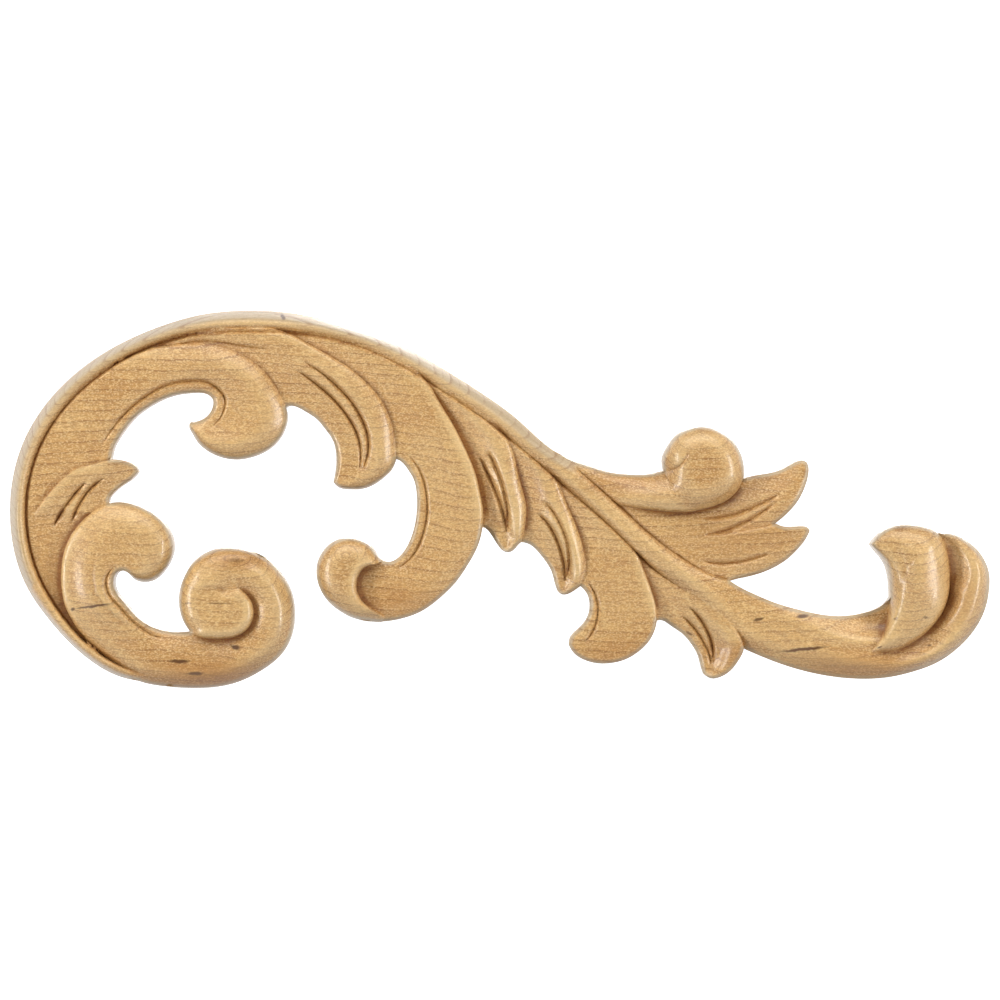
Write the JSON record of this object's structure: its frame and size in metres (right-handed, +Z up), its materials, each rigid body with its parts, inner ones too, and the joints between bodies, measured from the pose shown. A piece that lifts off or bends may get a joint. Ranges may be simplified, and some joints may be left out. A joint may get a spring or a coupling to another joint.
{
  "type": "carved applique",
  "caption": "Left-facing acanthus scroll applique carved in relief from maple, with a flat back for gluing or pinning to a face.",
  "frame": {"origin": "on the flat back, at the middle of the overall length and height", "axes": "+X along the length towards the end volute, -Y out of the carved front, +Z up"},
  "size_m": [0.3053, 0.018, 0.1177],
  "materials": {
    "maple": "satin"
  },
  "bodies": {
    "root": {"acanthus_scroll": "maple"}
  },
  "joints": []
}
